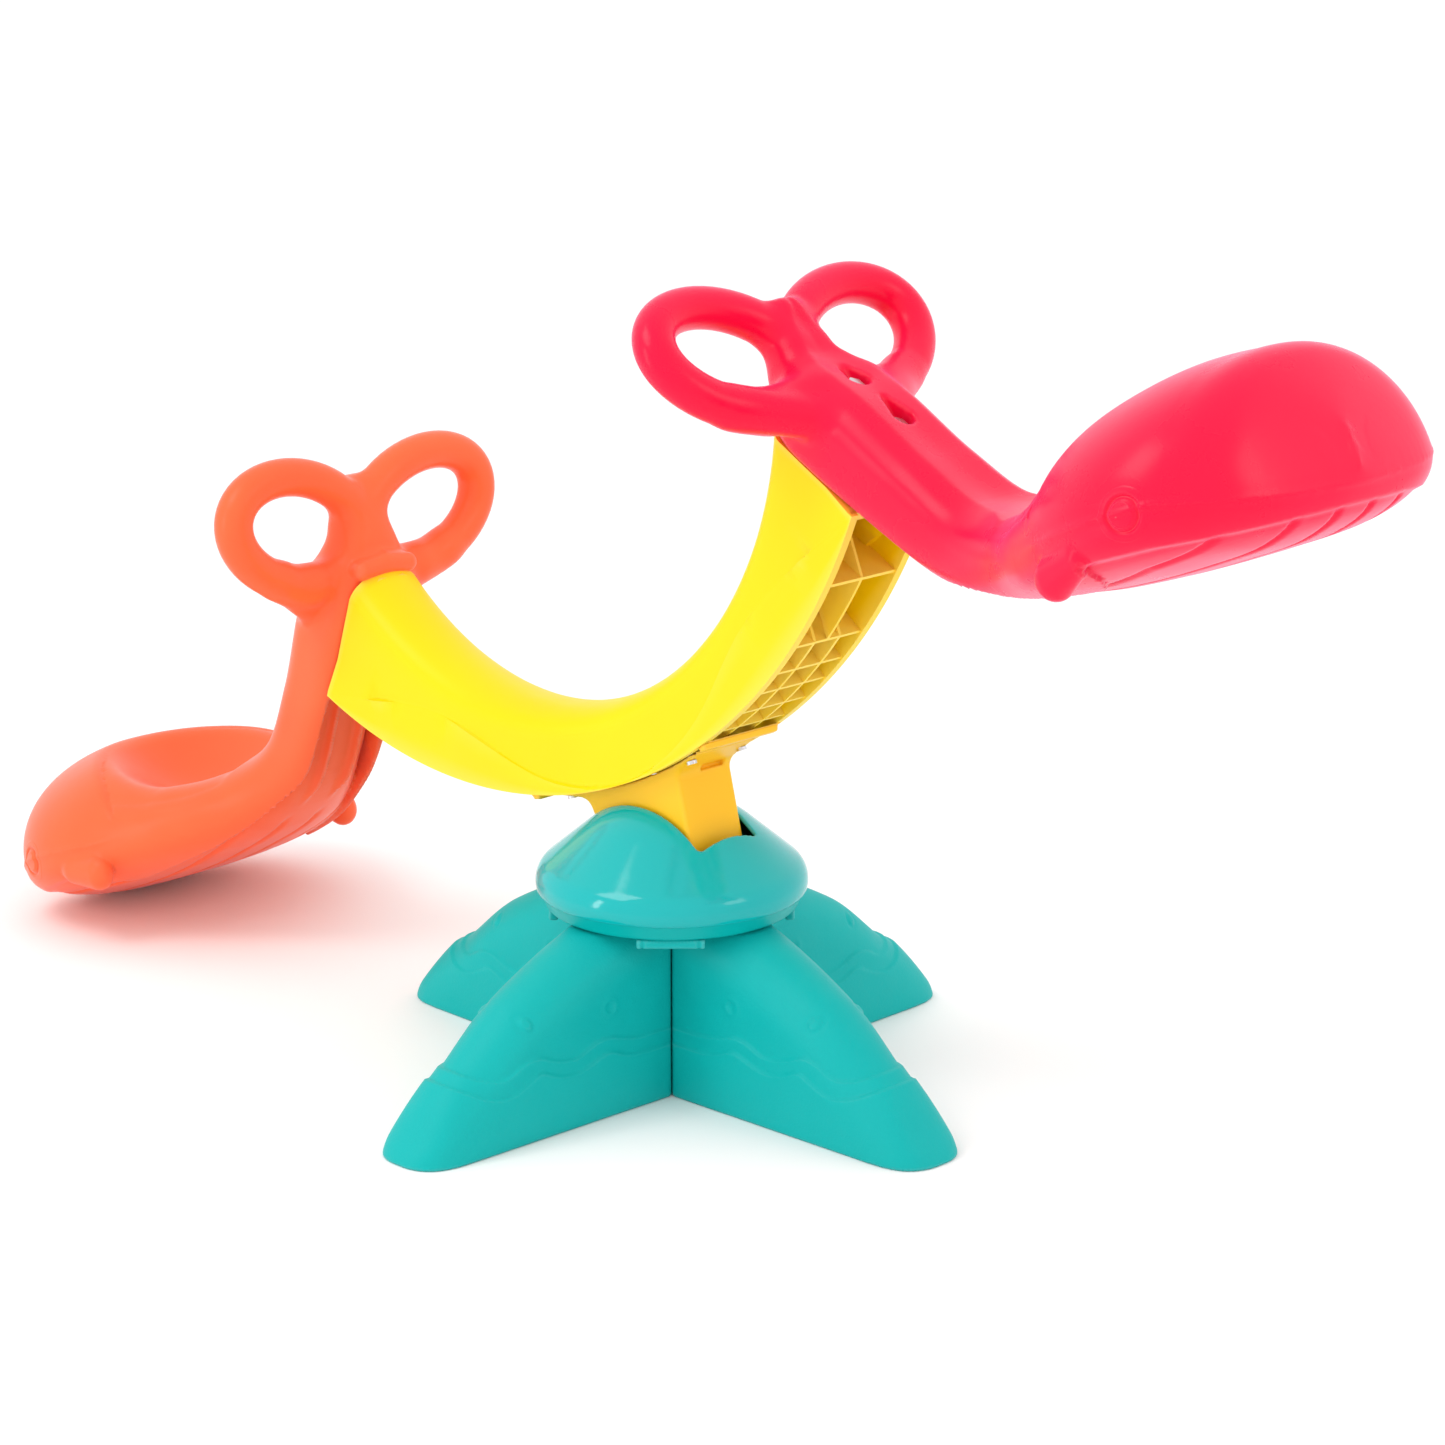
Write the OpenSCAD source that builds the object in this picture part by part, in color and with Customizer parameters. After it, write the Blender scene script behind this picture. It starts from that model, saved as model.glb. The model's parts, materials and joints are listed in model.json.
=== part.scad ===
// Children's seesaw: two whale-shaped seats on a curved beam. The beam rocks on a
// steel axle inside a domed turntable, and the turntable spins on a four-legged base.
// World frame: origin on the floor under the middle, +Z up, +X towards the raised seat.
// Beam frame: u along the beam, v sideways, w up, with its origin on the rocking axle.

/* [Base] */
// Distance from the middle of the base to the end of a toe
leg_reach = 318; // [308:1:330]
// Width of a leg at the middle of the base
leg_w = 94; // [90:1:96]
// Width of a leg near its toe
toe_w = 82; // [76:1:86]
// Height of the flat top of the legs, under the turntable
leg_top_z = 155; // [153:1:156]
// Radius of the side-view arc that forms the back of a leg
leg_ridge_r = 603; // [595:1:610]
// Height at which the sloping face of a toe starts to lean back
toe_kick = 12; // [8:1:16]
// Open seam between neighbouring legs
leg_seam = 1.2; // [0.8:0.1:2]
// Distance of the leg bolts from the middle
leg_bolt_pcr = 76; // [70:1:80]

/* [Turntable] */
// Height of the rocking axle above the floor
axle_z = 223.4; // [222:0.2:226]
// Widest radius of the dome
dome_r = 118.5; // [118:0.5:119.5]
// Wall thickness of the dome
dome_wall = 4; // [3:0.5:5]
// Half length of the slot in the dome, along the beam
slot_half_l = 69; // [69:0.5:72]
// Half width of the slot in the dome
slot_half_w = 34.5; // [34:0.5:35]
// Radius of the rocking axle
axle_r = 8; // [7:0.5:9]
// Radius of the upright king pin
king_r = 8; // [7:0.5:9]

/* [Beam] */
// Angle of the beam at rest, with one seat on the floor
rest_tilt = 22.4; // [21.5:0.1:22.5]
// Radius of the hollow upper arc of the crescent
inner_r = 309; // [307:1:311]
// Height of that arc's centre above the axle
inner_w = 429; // [427:1:431]
// Radius of the lower arc of the crescent
outer_r = 491; // [489:1:493]
// Height of that arc's centre above the axle
outer_w = 538; // [536:1:540]
// Half width of the beam at its lower edge
beam_half_w = 47; // [45:0.5:48]
// Half width of the beam where its crowned top meets the side
crown_half_w = 41; // [39:0.5:42]
// Wall thickness of the beam
beam_wall = 4; // [3:0.5:5]
// Half width of the saddle block that rides in the slot
block_half_w = 31.5; // [30:0.5:32]

/* [Seats] */
// Radius of the grip tube
grip_r = 17.5; // [16:0.5:19]
// Sideways and upright half sizes of a handle loop, to the middle of the tube
loop_a = 72; // [69:1:74]
loop_b = 49.5; // [48:0.5:51]
// Lean of the handle loops from the horizontal
loop_tilt = 72; // [68:1:76]

/* [Hidden] */

teal = "#00b4b0";
yellow = "#ffe614";
amber = "#ffc814";
pink = "#ff2d5c";
orange = "#ff6a45";
steel = "#c9ccd1";
nylon = "#f0f0ea";

// Stack of the turning parts, as heights above the floor
hub_top_z = leg_top_z + 7;
plate_z = hub_top_z + 7;
plate_top_z = plate_z + 4.5;
skirt_z = leg_top_z + 2;
dome_edge_z = 170;
run_gap = 0.4;
pin_gap = 0.05;
ridge_x = -99;
ridge_z = -406;
column_r = 22;
lug_w = 58;
cheek_y = block_half_w + 5;
cheek_t = 8;

// The end of the beam is a flat cut, from end_top down and outwards to end_bottom
end_top = [293, 280];
end_bottom = [357, 202];
end_len = norm(end_bottom - end_top);
end_dir = (end_bottom - end_top) / end_len;
end_out = [-end_dir[1], end_dir[0]];
end_angle = atan2(end_out[1], end_out[0]);
end_wall = 8;
bolt_along = [21, 75];
bolt_r = 4;
bolt_seat = 58;
screw_u = 80;
screw_v = 30;
screw_seat = 50.5;
rib_t = 3;
// Ribs under the beam, as angles about the centre of the lower arc
rib_angles = [15.6, 19.3, 22.9, 26.2, 30.2, 38.3];
twin_web_v = 15;
twin_web_end = 247;
web_end = 304;

// ---------- small helpers ----------

// Places beam-frame parts (x = u, y = v, z = w) at the rest pose
module beam_frame() translate([0, 0, axle_z]) rotate([0, -rest_tilt, 0]) children();

// side = 1 is the raised end, side = -1 is the same part turned half a turn about w
module end_side(side) rotate([0, 0, side > 0 ? 0 : 180]) children();

// Stands upright extrusions of (u, w) outlines across the beam, centred on v = 0
module across(width) rotate([90, 0, 0]) linear_extrude(width, center = true) children();

// Points +Z out of the flat end of the beam, at a distance along that flat
module on_end(along)
  translate([end_top[0] + end_dir[0] * along, 0, end_top[1] + end_dir[1] * along])
  rotate([0, 90 - end_angle, 0]) children();

module hexagon(flats, h) cylinder(r = flats / sqrt(3), h = h, $fn = 6);

// ---------- base ----------

module leg_arch_outline() {
  rim = leg_ridge_r - 50;
  half = leg_w / 2;
  polygon(concat([[rim - 150, -half], [rim, -half]],
    [for (a = [-81:9:81]) [rim + 50 * cos(a), half * sin(a)]],
    [[rim, half], [rim - 150, half]]));
}

module leg_plan() {
  corner = 34;
  root = column_r - 8;
  tip = leg_reach - corner;
  polygon([[root, -leg_w / 2], [tip, -toe_w / 2], [tip, toe_w / 2], [root, leg_w / 2]]);
  for (s = [-1, 1]) translate([tip, s * (toe_w / 2 - corner)]) circle(corner, $fn = 96);
  translate([tip, corner - toe_w / 2]) square([corner, toe_w - 2 * corner]);
}

module leg_side_view() {
  slope = [[leg_reach - 4, toe_kick], [leg_reach - 32, toe_kick + 44], [leg_reach - 56, 76],
    [leg_reach - 118, 150], [leg_reach - 118, leg_top_z]];
  polygon(concat([[0, 0], [leg_reach, 0]], slope, [[0, leg_top_z]]));
}

module leg(turn) color(teal) rotate([0, 0, turn]) difference() {
  intersection() {
    linear_extrude(leg_top_z) leg_plan();
    across(leg_w + 2) leg_side_view();
    translate([ridge_x, 0, ridge_z]) rotate([90, 0, 0]) rotate_extrude($fn = 360) leg_arch_outline();
    translate([leg_seam * 0.7, 0, 0]) rotate([0, 0, -45]) cube([leg_reach, leg_reach, leg_top_z]);
  }
  translate([0, 0, -1]) cylinder(r = column_r + 0.2, h = leg_top_z + 2, $fn = 96);
  translate([leg_bolt_pcr, 0, leg_top_z - 40]) cylinder(r = 4, h = 41, $fn = 48);
}

module base_hub() color(teal) difference() {
  union() {
    cylinder(r = column_r, h = leg_top_z + 1, $fn = 96);
    translate([0, 0, leg_top_z]) cylinder(r = 104, h = hub_top_z - leg_top_z, $fn = 180);
    for (a = [45:90:315]) rotate([0, 0, a])
      translate([98, -lug_w / 2, leg_top_z - 7]) cube([8, lug_w, 8]);
  }
  translate([0, 0, 60]) cylinder(r = king_r, h = 200, $fn = 60);
  for (a = [0:90:270]) rotate([0, 0, a]) translate([leg_bolt_pcr, 0, leg_top_z - 1])
    cylinder(r = 4.2, h = 20, $fn = 48);
}

module leg_bolt(turn) color(steel) rotate([0, 0, turn]) translate([leg_bolt_pcr, 0, 0]) {
  translate([0, 0, leg_top_z - 38]) cylinder(r = 4, h = hub_top_z - leg_top_z + 39, $fn = 48);
  translate([0, 0, hub_top_z]) hexagon(13, 5.3);
}

module king_pin() color(steel) translate([0, 0, 60]) cylinder(r = king_r, h = 123, $fn = 60);

module thrust_ring() color(nylon) difference() {
  translate([0, 0, hub_top_z]) cylinder(r = 58, h = plate_z - hub_top_z - run_gap, $fn = 120);
  translate([0, 0, hub_top_z - 1]) cylinder(r = 40, h = 20, $fn = 120);
}

// ---------- turntable ----------

module skirt_outline() {
  polygon([[105.6, skirt_z], [108.5, skirt_z], [110, skirt_z + 1.5], [115, dome_edge_z],
    [112, dome_edge_z], [112, dome_edge_z + 5], [105.6, dome_edge_z + 5]]);
}

module cheek_outline() {
  circle(16, $fn = 72);
  polygon([[-16, 0], [-24, plate_top_z - axle_z - 1], [24, plate_top_z - axle_z - 1], [16, 0]]);
}

module turntable() color(teal) difference() {
  union() {
    translate([0, 0, plate_z]) cylinder(r = 107, h = plate_top_z - plate_z, $fn = 180);
    rotate_extrude($fn = 180) skirt_outline();
    for (s = [-1, 1]) translate([0, s * (cheek_y + cheek_t / 2), axle_z])
      across(cheek_t) cheek_outline();
  }
  translate([0, 0, plate_z - 1]) cylinder(r = king_r + pin_gap, h = 10, $fn = 60);
  translate([0, 0, axle_z]) rotate([90, 0, 0]) cylinder(r = axle_r, h = 120, center = true, $fn = 60);
}

module king_washer() color(steel) difference() {
  translate([0, 0, plate_top_z + run_gap]) cylinder(r = 17, h = 2, $fn = 72);
  translate([0, 0, plate_top_z]) cylinder(r = king_r, h = 5, $fn = 60);
}

module king_nut() color(steel) difference() {
  translate([0, 0, plate_top_z + run_gap + 2]) hexagon(24, 6);
  translate([0, 0, plate_top_z]) cylinder(r = king_r, h = 20, $fn = 60);
}

// Outer line of the dome, as [r, z] points: a shallow cap, a cone and a rolled rim,
// all moved inwards by inset
cap_r = 110;
cap_z = 145;
rim_r = 24;
rim_c = [dome_r - rim_r, 178];
module dome_outline(inset) {
  polygon(concat([[0, dome_edge_z], [0, cap_z + cap_r - inset]],
    [for (a = [2:4:38]) [(cap_r - inset) * sin(a), cap_z + (cap_r - inset) * cos(a)]],
    [for (a = [50:-5:-15]) rim_c + (rim_r - inset) * [cos(a), sin(a)]],
    [[rim_c[0] + sqrt(pow(rim_r - inset, 2) - pow(rim_c[1] - dome_edge_z, 2)), dome_edge_z]]));
}

module dome() color("#00beb9") difference() {
  rotate_extrude($fn = 180) dome_outline(0);
  translate([0, 0, -0.01]) rotate_extrude($fn = 180) dome_outline(dome_wall);
  translate([-slot_half_l, -slot_half_w, 150]) cube([2 * slot_half_l, 2 * slot_half_w, 150]);
}

module rocking_axle() color(steel) translate([0, 0, axle_z]) rotate([90, 0, 0])
  cylinder(r = axle_r, h = 2 * (cheek_y + cheek_t) + 10, center = true, $fn = 60);

module axle_cap(side) color(nylon) translate([0, side * (cheek_y + cheek_t), axle_z])
  rotate([-90 * side, 0, 0]) difference() {
    cylinder(r = 11.5, h = 7, $fn = 60);
    translate([0, 0, -1]) cylinder(r = axle_r, h = 6, $fn = 60);
  }

// ---------- saddle and beam ----------

// Block in the slot, with a foot on each side that spreads out under the beam
module saddle_side_view() {
  sweep = [for (a = [0:15:75]) [73 - 14 * cos(a), 34 + 13 * sin(a)]];
  side = concat([[50.5, -30]], sweep, [[98, 55.5], [122, 61], [122, 90]]);
  polygon(concat(side, [for (i = [len(side) - 1:-1:0]) [-side[i][0], side[i][1]]]));
}

// Width of the saddle: narrow in the slot, flared to the full beam width above it
module saddle_end_view() {
  flare = [for (a = [0:15:75]) [block_half_w + 16 - 15.5 * cos(a), 36 + 22 * sin(a)]];
  right = concat([[block_half_w, -30]], flare, [[beam_half_w, 62], [beam_half_w, 90]]);
  polygon(concat(right, [for (i = [len(right) - 1:-1:0]) [-right[i][0], right[i][1]]]));
}

module under_beam() across(200) difference() {
  square(1200, center = true);
  translate([0, outer_w]) circle(outer_r + 0.1, $fn = 360);
}

module screw_holes(r, low, high)
  for (u = [-screw_u, screw_u]) for (v = [-screw_v, screw_v])
    translate([u, v, low]) cylinder(r = r, h = high - low, $fn = 36);

module saddle() color(amber) beam_frame() difference() {
  intersection() {
    across(100) saddle_side_view();
    rotate([90, 0, 90]) linear_extrude(260, center = true) saddle_end_view();
    under_beam();
  }
  rotate([90, 0, 0]) cylinder(r = axle_r + pin_gap, h = 120, center = true, $fn = 60);
  screw_holes(2.5, 40, 90);
  screw_holes(5.5, 30, screw_seat);
}

module saddle_screw(u, v) color(steel) beam_frame() translate([u, v, 0]) {
  translate([0, 0, screw_seat - 3]) cylinder(r = 4.5, h = 3, $fn = 36);
  translate([0, 0, screw_seat - 1]) cylinder(r = 2.5, h = 31, $fn = 36);
}

// Section of the beam: distance from the upper arc's centre against half width
module beam_section(inset) {
  crown = [for (a = [-90:10:90]) [inner_r + 24 - (24 - inset) * cos(a), (crown_half_w - inset) * sin(a)]];
  polygon(concat([[inner_r + 190, -(beam_half_w - inset)], [inner_r + 85, -(beam_half_w - inset)]],
    crown, [[inner_r + 85, beam_half_w - inset], [inner_r + 190, beam_half_w - inset]]));
}

// Side view of the beam between its two end cuts, moved inwards by inset
module beam_length(inset, bottom_r) across(120) intersection() {
  high = end_top - inset * end_out - 90 * end_dir;
  low = end_top - inset * end_out + 330 * end_dir;
  polygon([high, low, [-low[0], low[1]], [-high[0], high[1]]]);
  translate([0, outer_w]) circle(bottom_r, $fn = 360);
}

module beam_form(inset, bottom_r) intersection() {
  translate([0, 0, inner_w]) rotate([90, 0, 0]) rotate_extrude($fn = 360) beam_section(inset);
  beam_length(inset > 0 ? end_wall : 0, bottom_r);
}

// Rib plates: cross ribs on both arms, twin webs up to the fourth one, then a single web
module rib_plates() {
  translate([0, 0, outer_w]) for (s = [-1, 1]) {
    for (a = rib_angles) rotate([0, -s * a, 0]) translate([0, 0, -outer_r + 40])
      cube([rib_t, 2 * beam_half_w, 130], center = true);
  }
  for (v = [-twin_web_v, twin_web_v])
    translate([-twin_web_end, v - rib_t / 2, 30]) cube([2 * twin_web_end, rib_t, 140]);
  for (u = [-web_end, twin_web_end])
    translate([u, -rib_t / 2, 90]) cube([web_end - twin_web_end, rib_t, 150]);
}

module beam() color(yellow) beam_frame() difference() {
  union() {
    difference() {
      beam_form(0, outer_r);
      beam_form(beam_wall, outer_r + 20);
    }
    intersection() {
      beam_form(beam_wall, outer_r - 2);
      union() {
        rib_plates();
        screw_holes(7, 40, 130);
      }
    }
  }
  screw_holes(2.5, 40, 95);
  for (side = [-1, 1]) end_side(side) for (along = bolt_along)
    on_end(along) translate([0, 0, -30]) cylinder(r = bolt_r + 0.3, h = 40, $fn = 48);
}

// ---------- whale seats ----------

// Stations down the stalk and along the body:
// [u, w, half width, height over the spine, depth under it, dish depth, corner power below]
stations = [
  [299, 386, 12, 10, 10, 0, 2],
  [300, 364, 21, 18, 18, 0, 2.4],
  [308, 333, 32, 26, 30, 0, 3],
  [327, 303, 47, 33, 42, 0, 5],
  [357, 270, 50, 36, 45, 0, 6],
  [407, 208, 51, 35, 42, 0, 5],
  [459, 156, 58, 34, 43, 0, 3],
  [518, 132, 83, 42, 42, 8, 2.4],
  [583, 124, 126, 66, 42, 40, 2.3],
  [649, 123, 158, 96, 46, 66, 2.3],
  [710, 125, 166, 100, 49, 70, 2.3],
  [762, 129, 149, 96, 51, 60, 2.3],
  [798, 133, 104, 83, 42, 50, 2.2],
  [815, 135, 5, 20, 15, 50, 2]];
last_station = len(stations) - 1;
steps_per_station = 4;
around = 36;
top_power = 2.1;
// The dish is a bowl: it ends at dish_front, less far forward at its sides, and drops over dish_run
dish_share = 0.8;
dish_front = 722;
dish_round = 0.0062;
dish_run = 80;

// Smooth curve through one column of the stations, at s from 0 to last_station
function station(i) = stations[max(0, min(last_station, i))];
function through(s, col) = let (
    i = min(floor(s), last_station - 1), f = s - i,
    a = station(i - 1)[col], b = station(i)[col], c = station(i + 1)[col], d = station(i + 2)[col])
  b + f / 2 * (c - a + f * (2 * a - 5 * b + 4 * c - d + f * (3 * (b - c) + d - a)));

function signed_power(x, p) = sign(x) * pow(abs(x), p);

// Direction of the spine and the point of the skin at angle a round station s
function spine(s) = [through(s, 0), through(s, 1)];
function spine_dir(s) = let (d = spine(min(s + 0.1, last_station)) - spine(max(s - 0.1, 0))) d / norm(d);
function skin_point(s, a) = let (
    p = a < 180 ? top_power : through(s, 6),
    x = signed_power(cos(a), 2 / p),
    y = signed_power(sin(a), 2 / p),
    c = spine(s), d = spine_dir(s), v = through(s, 2) * x,
    back = max(0, min(1, (dish_front - dish_round * v * v - c[0]) / dish_run)),
    bowl = pow(max(0, 1 - pow(x / dish_share, 2)), 1.5) * (1 - pow(1 - back, 2)),
    dish = y > 0 ? through(s, 5) * bowl : 0,
    h = (y > 0 ? through(s, 3) : through(s, 4)) * y - dish)
  [c[0] - h * d[1], v, c[1] + h * d[0]];

module whale_body() {
  count = last_station * steps_per_station;
  points = [for (i = [0:count]) for (j = [0:around - 1])
    skin_point(i / steps_per_station, j * 360 / around)];
  sides = [for (i = [0:count - 1]) for (j = [0:around - 1]) let (k = (j + 1) % around)
    [i * around + j, (i + 1) * around + j, (i + 1) * around + k, i * around + k]];
  head = [for (j = [0:around - 1]) j];
  nose = [for (j = [around - 1:-1:0]) count * around + j];
  polyhedron(points, concat(sides, [head], [nose]), convexity = 6);
}

// Middle line of a handle loop: an ellipse, skewed up at its outer end
loop_centre = [300, 73, 349.5];
loop_skew = 12;
function loop_point(a, side) = let (
    across_loop = loop_a * cos(a), up = loop_b * sin(a) + loop_skew * cos(a))
  [loop_centre[0] - up * cos(loop_tilt), side * (loop_centre[1] + across_loop),
   loop_centre[2] + up * sin(loop_tilt)];

module handle_loop(side) {
  count = 32;
  ring = 14;
  normal = [sin(loop_tilt), 0, cos(loop_tilt)];
  points = [for (i = [0:count - 1]) let (
      a = i * 360 / count,
      along = loop_point(a + 1, side) - loop_point(a - 1, side),
      out = cross(along, normal) / norm(along))
    for (j = [0:ring - 1]) let (b = j * 360 / ring)
      loop_point(a, side) + grip_r * (cos(b) * out + sin(b) * normal)];
  faces = [for (i = [0:count - 1]) for (j = [0:ring - 1]) let (
      i2 = (i + 1) % count, j2 = (j + 1) % ring)
    [i * ring + j, i * ring + j2, i2 * ring + j2, i2 * ring + j]];
  polyhedron(points, faces, convexity = 8);
}

// Webs that blend the loops into the top of the stalk
module handle_webs() {
  ball = [18, 17, 15];
  for (side = [-1, 1]) {
    hull() {
      translate([336, side * 26, 300]) sphere(22, $fn = 20);
      translate(loop_point(262, side)) sphere(ball[0] - 0.5, $fn = 20);
    }
    hull() {
      translate([350, side * 34, 280]) sphere(18, $fn = 20);
      translate(loop_point(290, side)) sphere(ball[1] - 0.5, $fn = 20);
    }
    hull() {
      translate([306, side * 9, 345]) sphere(17, $fn = 20);
      translate(loop_point(215, side)) sphere(ball[1] - 1, $fn = 20);
    }
    hull() {
      translate([300, side * 3, 378]) sphere(ball[2] - 1, $fn = 20);
      translate(loop_point(145, side)) sphere(ball[2] - 1, $fn = 20);
    }
  }
}

module fins() for (side = [-1, 1]) hull() {
  translate([644, side * 150, 105]) sphere(13, $fn = 20);
  translate([672, side * 154, 98]) sphere(10, $fn = 20);
}

module eyes() for (side = [-1, 1]) translate([721.5, side * 143, 133])
  rotate([-90 * side, 0, -8 * side]) cylinder(r = 10.6, h = 21, $fn = 30);

// Drop-shaped pocket in front of each seat bolt
module bolt_pockets() for (along = bolt_along) on_end(along) {
  hull() {
    translate([0, 0, bolt_seat]) cylinder(r = 10.5, h = 60, $fn = 30);
    translate([-22, 0, bolt_seat + 10]) cylinder(r = 4, h = 50, $fn = 30);
  }
  translate([0, 0, -10]) cylinder(r = bolt_r + 0.3, h = 90, $fn = 30);
}

module whale() difference() {
  union() {
    whale_body();
    for (side = [-1, 1]) handle_loop(side);
    handle_webs();
    fins();
    eyes();
  }
  on_end(end_len / 2 + 10) translate([0, 0, -50]) cube([end_len + 60, 140, 100], center = true);
  on_end(160) translate([0, 0, 5]) cube([106, 72, 36], center = true);
  bolt_pockets();
}

module seat_bolt(side, along) color(steel) beam_frame() end_side(side) on_end(along) {
  translate([0, 0, -22]) cylinder(r = bolt_r, h = bolt_seat + 22.5, $fn = 48);
  translate([0, 0, bolt_seat]) cylinder(r = 8.5, h = 1.6, $fn = 48);
  translate([0, 0, bolt_seat + 1.5]) hexagon(13, 5.5);
}

module seat_nut(side, along) color(steel) beam_frame() end_side(side) on_end(along)
  translate([0, 0, -end_wall - 6.5]) difference() {
    hexagon(13, 6.5);
    translate([0, 0, -1]) cylinder(r = bolt_r, h = 9, $fn = 48);
  }

leg(0);  // leg_front_right
leg(90);  // leg_rear_right
leg(180);  // leg_rear_left
leg(270);  // leg_front_left
base_hub();
leg_bolt(0);  // leg_bolt_front_right
leg_bolt(90);  // leg_bolt_rear_right
leg_bolt(180);  // leg_bolt_rear_left
leg_bolt(270);  // leg_bolt_front_left
king_pin();
thrust_ring();
turntable();
king_washer();
king_nut();
dome();
rocking_axle();
axle_cap(-1);  // axle_cap_near
axle_cap(1);  // axle_cap_far
saddle();
beam();
saddle_screw(screw_u, -screw_v);  // saddle_screw_pink_near
saddle_screw(screw_u, screw_v);  // saddle_screw_pink_far
saddle_screw(-screw_u, -screw_v);  // saddle_screw_orange_near
saddle_screw(-screw_u, screw_v);  // saddle_screw_orange_far
color(pink) beam_frame() whale();  // seat_pink
color(orange) beam_frame() end_side(-1) whale();  // seat_orange
seat_bolt(1, bolt_along[0]);  // seat_bolt_pink_upper
seat_bolt(1, bolt_along[1]);  // seat_bolt_pink_lower
seat_bolt(-1, bolt_along[0]);  // seat_bolt_orange_upper
seat_bolt(-1, bolt_along[1]);  // seat_bolt_orange_lower
seat_nut(1, bolt_along[0]);  // seat_nut_pink_upper
seat_nut(1, bolt_along[1]);  // seat_nut_pink_lower
seat_nut(-1, bolt_along[0]);  // seat_nut_orange_upper
seat_nut(-1, bolt_along[1]);  // seat_nut_orange_lower
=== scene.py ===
"""Looks of the whale seesaw: moulded shells built as smooth distance fields round the CAD frame."""
import json
from concurrent.futures import ThreadPoolExecutor
import bpy
import numpy as np
from mathutils import Matrix, Vector


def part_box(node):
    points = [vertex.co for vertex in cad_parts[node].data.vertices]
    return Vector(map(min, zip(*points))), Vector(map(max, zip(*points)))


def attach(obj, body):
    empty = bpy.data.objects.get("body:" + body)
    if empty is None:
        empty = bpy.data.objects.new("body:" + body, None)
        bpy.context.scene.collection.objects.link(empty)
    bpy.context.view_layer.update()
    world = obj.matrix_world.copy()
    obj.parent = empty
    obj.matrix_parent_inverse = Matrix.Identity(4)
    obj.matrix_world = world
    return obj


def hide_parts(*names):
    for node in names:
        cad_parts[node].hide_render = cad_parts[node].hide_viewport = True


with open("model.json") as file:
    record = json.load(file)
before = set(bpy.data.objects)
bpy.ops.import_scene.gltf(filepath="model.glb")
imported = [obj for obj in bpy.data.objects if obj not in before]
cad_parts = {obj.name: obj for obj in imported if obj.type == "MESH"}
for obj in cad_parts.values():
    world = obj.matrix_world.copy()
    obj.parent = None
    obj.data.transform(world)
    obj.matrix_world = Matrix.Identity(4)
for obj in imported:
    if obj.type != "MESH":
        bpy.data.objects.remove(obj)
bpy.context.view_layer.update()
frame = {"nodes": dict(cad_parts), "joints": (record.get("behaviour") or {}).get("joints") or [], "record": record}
nodes = frame["nodes"]
joints = {joint["name"]: joint for joint in frame["joints"]}

# All shapes are worked out in millimetres and scaled to metres once, in make_piece().
MM = 0.001
AXLE_Z = joints["rock"]["pos_m"][2] / MM
REST_TILT = np.radians(joints["rock"]["range_deg"][1] / 2)
LEG_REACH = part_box("leg_front_right")[1].x / MM
LEG_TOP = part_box("leg_front_right")[1].z / MM


# ---------- distance-field tools ----------

def smooth_max(a, b, k):
    """The larger of two fields, rounded where they meet over a width k."""
    h = np.maximum(k - np.abs(a - b), 0) / k
    return np.maximum(a, b) + h * h * k / 4


def smooth_min(a, b, k):
    return -smooth_max(-a, -b, k)


def ramp(x, low, high):
    """0 below low, 1 above high, and a smooth step between them. low may be the larger one."""
    t = np.clip((x - low) / (high - low), 0, 1)
    return t * t * (3 - 2 * t)


def bump(x, width):
    return np.exp(-(x / width) ** 2)


def capsule(points, a, b, radius_a, radius_b):
    """Distance to a rod from a to b whose radius changes evenly."""
    a = np.asarray(a, float)
    line = np.asarray(b, float) - a
    t = np.clip((points - a) @ line / (line @ line), 0, 1)
    near = a + t[:, None] * line
    return np.linalg.norm(points - near, axis=1) - (radius_a + t * (radius_b - radius_a))


def rounded_box(x, y, half_x, half_y, corner):
    """Distance to a rectangle with round corners, in a plane."""
    qx = np.abs(x) - half_x + corner
    qy = np.abs(y) - half_y + corner
    outside = np.hypot(np.maximum(qx, 0), np.maximum(qy, 0))
    return outside + np.minimum(np.maximum(qx, qy), 0) - corner


def outline_distance(x, y, outline):
    """Signed distance to a closed outline in a plane, negative inside."""
    best = np.full(len(x), 1e6)
    inside = np.zeros(len(x), bool)
    for a, b in zip(outline, np.roll(outline, -1, axis=0)):
        line = b - a
        t = np.clip(((x - a[0]) * line[0] + (y - a[1]) * line[1]) / (line @ line), 0, 1)
        best = np.minimum(best, np.hypot(x - a[0] - t * line[0], y - a[1] - t * line[1]))
        if a[1] != b[1]:
            crossing = (a[1] > y) != (b[1] > y)
            inside ^= crossing & (x < a[0] + (y - a[1]) / line[1] * line[0])
    return np.where(inside, -best, best)


SLOPE_STEP = 0.25


def slope_of(field, points):
    """Gradient of a field, from differences along each axis."""
    out = np.empty_like(points)
    for axis in range(3):
        shift = np.zeros(3)
        shift[axis] = SLOPE_STEP
        rise = spread(field, points + shift) - spread(field, points - shift)
        out[:, axis] = rise / (2 * SLOPE_STEP)
    return out


POINTS_PER_PART = 60000


def spread(field, points):
    """Values of a field, worked out on several threads."""
    parts = np.array_split(points, max(4, len(points) // POINTS_PER_PART))
    with ThreadPoolExecutor() as pool:
        return np.concatenate(list(pool.map(field, parts)))


# Cells along one edge of a grid block, and how near the zero level a block has to be, in blocks
BLOCK = 5
NEAR_BLOCKS = 4


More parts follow.
